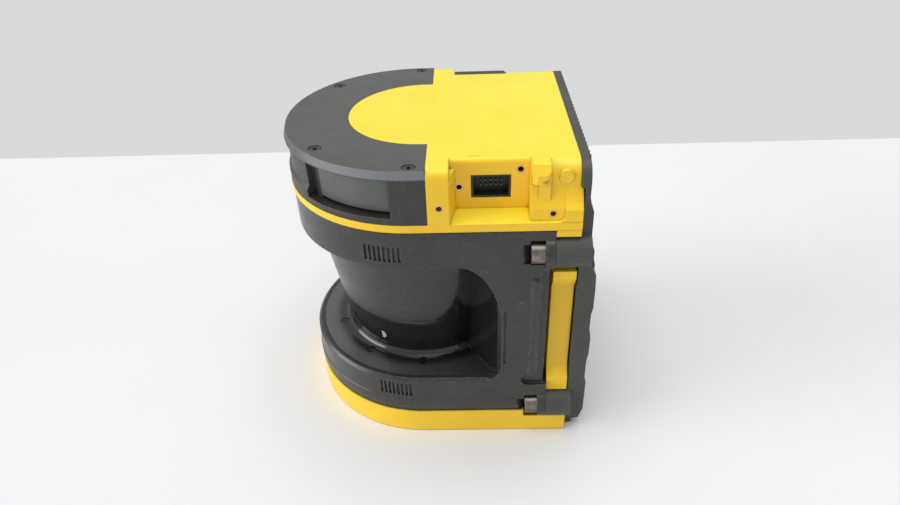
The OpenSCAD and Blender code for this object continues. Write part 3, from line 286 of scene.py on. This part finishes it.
def charcoal_powder_coat():
    """Charcoal powder coat on the cast rear: a coarser grain than the mouldings, grey worn fin edges, and brown
    dirt with painted shade between the fins."""
    material, tree, place = new_material("charcoal_powder_coat")
    colour = mottled(tree, place, size_mm=28, stops=[(0.3, "#3A3A38"), (0.7, "#464744")], broken=0.6)
    dusty = patches(tree, place, size_mm=2.5, start=0.58, full=0.8, most=0.3, detail=5.0, broken=0.7)
    # Brown dirt and painted shade between the fins and in corners.
    grime_and_shade = in_corners(tree, place, reach_mm=2.5, most=0.6)
    worn = on_edges(tree, place, radius_mm=0.5, most=0.6)
    for share, tint in ((dusty, "#8A887F"), (grime_and_shade, "#3A3126"), (worn, "#8B8981")):
        colour = add(tree, "ShaderNodeMix", {"Factor": share, "A": colour, "B": linear(tint)}, data_type="RGBA")
    gloss = patches(tree, place, size_mm=10, start=0.3, full=0.7, most=0.62, least=0.46)
    coat = add(tree, "ShaderNodeBsdfPrincipled", {
        "Base Color": colour, "Roughness": gloss, "IOR": 1.5,
        "Normal": grained_face(tree, place, grain_mm=0.9, depth_mm=0.05, edge_mm=0.4, detail=3.0)})
    return finished(material, coat)


def black_polycarbonate():
    """Infrared-clear black polycarbonate: the window and its cheeks are polished, near black with a sharp
    reflection, and the level floor, further than 60 mm from the axis, is a satin dark grey, painted paler
    towards the open front as a painted reflection of the bright surroundings there, and fine specks of dust lie
    all over. The walls sink a little in swells 24 mm across, as moulded ones do."""
    satin_roughness, nearly_level = 0.13, 0.9
    material, tree, place = new_material("black_polycarbonate")
    flat = add(tree, "ShaderNodeMapping", {"Vector": place, "Scale": (1.0, 1.0, 0.0)})
    from_axis = add(tree, "ShaderNodeVectorMath", {0: flat}, output="Value", operation="LENGTH")
    outside = add(tree, "ShaderNodeMapRange", {"Value": from_axis, "From Min": 57 * MM, "From Max": 64 * MM},
                  interpolation_type="SMOOTHSTEP")
    level = add(tree, "ShaderNodeMath", {0: looks_up(tree), 1: nearly_level}, operation="GREATER_THAN")
    on_floor = add(tree, "ShaderNodeMath", {0: outside, 1: level}, operation="MULTIPLY")
    forward = add(tree, "ShaderNodeSeparateXYZ", {"Vector": place}, output="Y")
    # Painted reflection: the level floor is painted paler towards the open front, where it mirrors the bright
    # surroundings.
    toward_open_front = add(tree, "ShaderNodeMapRange", {"Value": forward, "From Min": 45 * MM, "From Max": -60 * MM})
    floor_grey_and_sheen = add(tree, "ShaderNodeValToRGB", {"Fac": toward_open_front},
               stops=[(0.0, "#262829"), (0.45, "#3D3F41"), (1.0, "#5E605F")])
    dust = patches(tree, place, size_mm=1.6, start=0.6, full=0.8, most=0.06, detail=5.0, broken=0.75)
    colour = add(tree, "ShaderNodeMix", {"Factor": on_floor, "A": linear("#181919"), "B": floor_grey_and_sheen}, data_type="RGBA")
    colour = add(tree, "ShaderNodeMix", {"Factor": dust, "A": colour, "B": linear("#8E9090")}, data_type="RGBA")
    upright = add(tree, "ShaderNodeMapping", {"Vector": place, "Scale": (1.0, 1.0, 0.35)})
    wiped = patches(tree, upright, size_mm=30, start=0.35, full=0.7, most=0.15, least=0.07, detail=3.0)
    gloss = add(tree, "ShaderNodeMath", {0: on_floor, 1: satin_roughness, 2: wiped}, operation="MULTIPLY_ADD")
    window = add(tree, "ShaderNodeBsdfPrincipled", {
        "Base Color": colour, "Roughness": gloss, "IOR": 1.585,
        "Normal": grained_face(tree, place, grain_mm=24, depth_mm=0.02, edge_mm=0.25)})
    return finished(material, window)


def smoked_acrylic():
    """Smoked acrylic display panel with a fine satin face: mid grey, an even soft reflection."""
    material, tree, place = new_material("smoked_acrylic")
    colour = mottled(tree, place, size_mm=18, stops=[(0.3, "#525551"), (0.7, "#5C5E5B")], detail=3.0)
    panel = add(tree, "ShaderNodeBsdfPrincipled", {
        "Base Color": colour, "Roughness": 0.3, "IOR": 1.49,
        "Normal": grained_face(tree, place, grain_mm=0.35, depth_mm=0.006, edge_mm=0.2, detail=1.0)})
    return finished(material, panel)


def turned_steel():
    """Turned steel, gone brown: fine bands that run round the clamp screws' axis and break the highlight, and a
    tarnish. The bands are drawn coarser than real ones, so that they show."""
    band_mm = 0.35
    material, tree, place = new_material("turned_steel")
    colour = mottled(tree, place, size_mm=4, stops=[(0.35, "#8A837B"), (0.75, "#5C554D")], detail=5.0, broken=0.65)
    squeezed = add(tree, "ShaderNodeMapping", {"Vector": place, "Scale": (1.0, 3.0, 1.0)})
    gloss = patches(tree, squeezed, size_mm=band_mm, start=0.3, full=0.7, most=0.44, least=0.3, detail=2.0)
    steel = add(tree, "ShaderNodeBsdfPrincipled", {
        "Base Color": colour, "Metallic": 1.0, "Roughness": gloss,
        "Normal": grained_face(tree, squeezed, band_mm, depth_mm=0.012, edge_mm=0.3)})
    return finished(material, steel)


def machined_metal(name, colour, rough, grain_mm=0.6, depth_mm=0.01):
    """Machined or plated metal with a fine tool grain and cloudy handling marks."""
    material, tree, place = new_material(name)
    handled = patches(tree, place, size_mm=6, start=0.3, full=0.7, most=0.35)
    shade = add(tree, "ShaderNodeMix", {"Factor": handled, "A": linear(colour), "B": linear("#4A4642")},
                data_type="RGBA")
    gloss = patches(tree, place, size_mm=3, start=0.3, full=0.7, most=rough + 0.1, least=rough, detail=3.0)
    metal = add(tree, "ShaderNodeBsdfPrincipled", {
        "Base Color": shade, "Metallic": 1.0, "Roughness": gloss,
        "Normal": grained_face(tree, place, grain_mm, depth_mm, edge_mm=0.15)})
    return finished(material, metal)


def small_moulding(name, colour, rough, dust="#6E6C68"):
    """Moulded nylon, rubber or acrylic: one even colour with a fine grain, and a little dust in patches."""
    material, tree, place = new_material(name)
    dusty = patches(tree, place, size_mm=2.5, start=0.5, full=0.8, most=0.18, detail=5.0, broken=0.7)
    shade = add(tree, "ShaderNodeMix", {"Factor": dusty, "A": linear(colour), "B": linear(dust)}, data_type="RGBA")
    gloss = patches(tree, place, size_mm=5, start=0.3, full=0.7, most=rough + 0.1, least=rough, detail=3.0)
    plastic = add(tree, "ShaderNodeBsdfPrincipled", {
        "Base Color": shade, "Roughness": gloss, "IOR": 1.5,
        "Normal": grained_face(tree, place, grain_mm=0.5, depth_mm=0.015, edge_mm=0.2)})
    return finished(material, plastic)


def circuit_board():
    """Green solder mask over copper: glossy, with paler tracks on a grid and a faint glass weave."""
    track_pitch_mm, track_share = 6.3, 0.035
    material, tree, place = new_material("circuit_board")
    tracks = add(tree, "ShaderNodeTexBrick", {
        "Vector": place, "Color1": linear("#1C5A33"), "Color2": linear("#175030"), "Mortar": linear("#2E7A48"),
        "Scale": per_metre(track_pitch_mm), "Mortar Size": track_share})
    board = add(tree, "ShaderNodeBsdfPrincipled", {
        "Base Color": tracks, "Roughness": 0.28, "IOR": 1.5,
        "Normal": grained_face(tree, place, grain_mm=0.5, depth_mm=0.008, edge_mm=0.1, detail=1.0)})
    return finished(material, board)


def lens_glass():
    """Crown glass, clear with a faint blue-green coating and wipe marks."""
    material, tree, place = new_material("lens_glass")
    wiped = patches(tree, place, size_mm=15, start=0.3, full=0.7, most=0.04, least=0.01, detail=3.0)
    glass = add(tree, "ShaderNodeBsdfPrincipled", {
        "Base Color": linear("#DCEBEC"), "Roughness": wiped, "IOR": 1.52, "Transmission Weight": 0.92})
    return finished(material, glass)


def silvered_mirror():
    """Front-silvered mirror: almost no texture, only faint wipe marks."""
    material, tree, place = new_material("silvered_mirror")
    wiped = patches(tree, place, size_mm=20, start=0.3, full=0.7, most=0.05, least=0.02, detail=3.0)
    silver = add(tree, "ShaderNodeBsdfPrincipled", {
        "Base Color": linear("#EDF0F1"), "Metallic": 1.0, "Roughness": wiped})
    return finished(material, silver)


# Each finish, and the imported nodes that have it
FINISHES = [
    (yellow_powder_coat(), ["housing"]),
    (moulded_abs("charcoal_abs_hood", "#272521", "#312F2A", grain_mm=0.55, rough=0.46, scratched=0.35),
     ["front_hood", "port_cover"]),
    (moulded_abs("charcoal_abs_plate", "#454543", "#4F4E4C", grain_mm=0.55, rough=0.48, scratched=0.35,
                 bevel_sheen=0.35),
     ["top_plate"]),
    (moulded_abs("charcoal_abs_cover", "#272624", "#31302D", grain_mm=0.5, rough=0.3, scratched=0.6),
     ["optics_cover"]),
    (charcoal_powder_coat(), ["rear_casting"]),
    (black_polycarbonate(), ["scan_window"]),
    (smoked_acrylic(), ["display_window", "indicator_window"]),
    (turned_steel(), ["clamp_screws", "board_screws", "barrel_screws", "bracket_screws", "rotor_shaft",
                      "lower_bearing", "upper_bearing"]),
    (machined_metal("blackened_steel", "#5A5956", rough=0.4), ["hood_screws", "rear_screws", "port_cover_screws"]),
    (small_moulding("nitrile_rubber", "#1C1C1C", rough=0.62),
     ["cover_seal_top", "cover_seal_bottom", "rear_gasket"]),
    (small_moulding("black_nylon", "#1A1B1B", rough=0.42), ["header_shroud", "encoder_sensor", "mirror_holder"]),
    (small_moulding("sensor_lens", "#0B0E11", rough=0.12), ["window_sensors"]),
    (machined_metal("plated_brass", "#7F7460", rough=0.3),
     ["header_pins", "board_standoffs", "laser_module", "photodiode"]),
    (circuit_board(), ["header_board", "main_board", "display_board", "receiver_board"]),
    (lens_glass(), ["receiver_lens"]),
    (machined_metal("machined_aluminium", "#C4C7C9", rough=0.3), ["motor_bracket", "rotor_bell", "encoder_disc"]),
    (machined_metal("enamelled_copper", "#B06A34", rough=0.32, grain_mm=0.5, depth_mm=0.05), ["motor_stator"]),
    (small_moulding("bonded_magnet", "#38383B", rough=0.5), ["magnet_ring"]),
    (silvered_mirror(), ["mirror_plate"]),
    (small_moulding("barrel_nylon", "#26282A", rough=0.5), ["lens_barrel"]),
    (small_moulding("diffuser_acrylic", "#D8D8D2", rough=0.3, dust="#B0AFA8"), ["status_leds"]),
]
for finish, nodes in FINISHES:
    for node in nodes:
        slots = frame["nodes"][node].data.materials
        slots.clear()
        slots.append(finish)

# ---------- new surfaces ----------


def mesh_object(name, points, faces, material):
    """A mesh object at the origin from an array of points, an array of faces and a finish."""
    mesh = bpy.data.meshes.new(name)
    mesh.from_pydata(points.tolist(), [], faces.tolist())
    mesh.materials.append(material)
    mesh.update()
    thing = bpy.data.objects.new(name, mesh)
    scene.collection.objects.link(thing)
    return thing


def mesh_piece(name, points, faces, material, body="body"):
    """A mesh object that belongs to the scanner: it rides on a body."""
    piece = mesh_object(name, points, faces, material)
    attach(piece, body)


def grid_faces(rows, columns):
    """Quads between neighbouring rows and columns of a grid of points, numbered row by row."""
    i, j = np.meshgrid(np.arange(rows - 1), np.arange(columns - 1), indexing="ij")
    first = i * columns + j
    return np.stack([first, first + 1, first + columns + 1, first + columns], axis=-1).reshape(-1, 4)


def reflector_patch():
    """Pale reflector on the scan window, a D laid on the window's cone. From a straight left edge it reaches right
    by its width times the square root of one minus the size of the height to the power 2.4, where the height runs
    from -1 at its foot to 1 at its top. The cone's radius grows evenly with z."""
    rows, columns = 25, 9
    middle_z_mm, half_height_mm, left_mm, width_mm, fullness = 58.0, 3.0, -1.4, 3.0, 2.4
    cone_foot_z_mm, cone_height_mm, foot_radius_mm, top_radius_mm, proud_mm = 44.0, 30.5, 52.0, 55.8, 0.06
    patch_direction = np.radians(-26.7)
    turn, height = np.meshgrid(np.linspace(0, 1, columns), np.linspace(-1, 1, rows))
    z = middle_z_mm + half_height_mm * height
    across = left_mm + width_mm * turn * np.sqrt(np.clip(1 - np.abs(height) ** fullness, 0, 1))
    slope = (top_radius_mm - foot_radius_mm) / cone_height_mm
    radius = foot_radius_mm + slope * (z - cone_foot_z_mm) + proud_mm
    angle = patch_direction + across / radius
    points = np.stack([radius * np.cos(angle), radius * np.sin(angle), z], axis=-1).reshape(-1, 3) * MM
    pale = small_moulding("pale_reflector", "#A9ABA8", rough=0.3, dust="#8C8D8A")
    mesh_piece("window_reflector", points, grid_faces(rows, columns), pale)


def port_inserts():
    """Brass threaded inserts in the four screw holes beside the port: a closed ring profile turned about each
    hole's axis, from 3 mm down its bore out to a pale rim that stands 0.05 mm proud of the paint. Each hole's
    mouth lies outwards of its mount's place, along X, by the length given here."""
    mouth_mm = {"port_screw_front": 1.6, "port_screw_rear": 1.6, "post_screw": 4.0, "block_screw": 4.0}
    bore, hole, rim = 1.42, 1.58, 2.15  # radii in mm
    deep, sunk, proud = -3.0, -0.02, 0.05  # along the axis in mm, outwards from the mouth
    profile = np.array([[bore, deep], [bore, proud], [rim, proud], [rim, sunk], [hole, sunk], [hole, deep]])
    sides, rows = 32, len(profile)
    turn = np.linspace(0, 2 * np.pi, sides, endpoint=False)
    radius, along = profile[:, :1], np.repeat(profile[:, 1:], sides, axis=1)
    ring = np.stack([along, radius * np.cos(turn), radius * np.sin(turn)], axis=-1).reshape(-1, 3)
    row, step = np.divmod(np.arange(rows * sides), sides)
    next_row, next_step = (row + 1) % rows, (step + 1) % sides
    quads = np.stack([row * sides + step, next_row * sides + step, next_row * sides + next_step,
                      row * sides + next_step], axis=-1)
    mouths = np.array([np.array(mount["pos_m"]) / MM + [mouth_mm[mount["name"]], 0.0, 0.0]
                       for mount in frame["record"]["mounts"] if mount["name"] in mouth_mm])
    points = (ring + mouths[:, None]).reshape(-1, 3) * MM
    faces = (quads + len(ring) * np.arange(len(mouths))[:, None, None]).reshape(-1, 4)
    brass = machined_metal("threaded_brass", "#DDBE8C", rough=0.42)
    mesh_piece("port_inserts", points, faces, brass)


reflector_patch()
port_inserts()

# ---------- table, light and surroundings ----------


def table():
    """Pale laminate table top that runs level under the object and ends behind it in a rounded edge: a level
    line, a quarter turn down and a short drop, carried across. It lies a fifth of a millimetre below the base."""
    edge_x, round_off, reach, drop, below = -0.333, 0.012, 3.0, 0.3, 0.0002
    turn = np.radians(np.linspace(0, 90, 13))
    rounded = np.stack([edge_x - round_off * np.sin(turn), round_off * (np.cos(turn) - 1)], axis=-1)
    profile = np.concatenate([[[reach, 0.0]], rounded, [[edge_x - round_off, -drop]]])
    points = np.array([[x, y, z - below] for x, z in profile for y in (-reach, reach)])
    material, tree, place = new_material("pale_laminate")
    shade = mottled(tree, place, size_mm=260, stops=[(0.3, "#E6E7E8"), (0.7, "#EBECEC")], detail=3.0)
    finished(material, add(tree, "ShaderNodeBsdfPrincipled", {"Base Color": shade, "Roughness": 0.55}))
    sheet = mesh_object("table", points, grid_faces(len(profile), 2), material)


def soft_light(name, towards_lamp, spread, strength):
    """Even light from one direction, as from a wide panel far away; spread is the panel's angle in degrees."""
    lamp = bpy.data.lights.new(name, "SUN")
    lamp.angle, lamp.energy = math.radians(spread), strength
    holder = bpy.data.objects.new(name, lamp)
    scene.collection.objects.link(holder)
    away = np.array(towards_lamp) / np.linalg.norm(towards_lamp)
    side = np.cross([0.0, 1.0, 0.0], away)
    side /= np.linalg.norm(side)
    holder.matrix_world = turned_to(side, np.cross(away, side), away)


def surroundings():
    """Soft light from all round, while the camera, polished surfaces and glass see a pale grey wall there."""
    world = bpy.data.worlds.new("studio")
    scene.world = world
    world.use_nodes = True
    tree = world.node_tree
    tree.nodes.clear()
    seen = 0.0
    for ray in ("Is Camera Ray", "Is Glossy Ray", "Is Transmission Ray"):
        sees = add(tree, "ShaderNodeLightPath", output=ray)
        seen = add(tree, "ShaderNodeMath", {0: seen, 1: sees}, operation="MAXIMUM")
    light = add(tree, "ShaderNodeBackground", {"Color": linear("#F2F4F6"), "Strength": 0.52})
    wall = add(tree, "ShaderNodeBackground", {"Color": linear("#DADADB"), "Strength": 1.0})
    add(tree, "ShaderNodeOutputWorld", {"Surface": add(tree, "ShaderNodeMixShader", {0: seen, 1: light, 2: wall})})


table()
soft_light("overhead_light", towards_lamp=(0.02, 0.0, 1.0), spread=50, strength=1.55)
soft_light("front_light", towards_lamp=(0.2, -0.95, 0.22), spread=44, strength=2.2)
surroundings()
scene.view_settings.view_transform = "Standard"
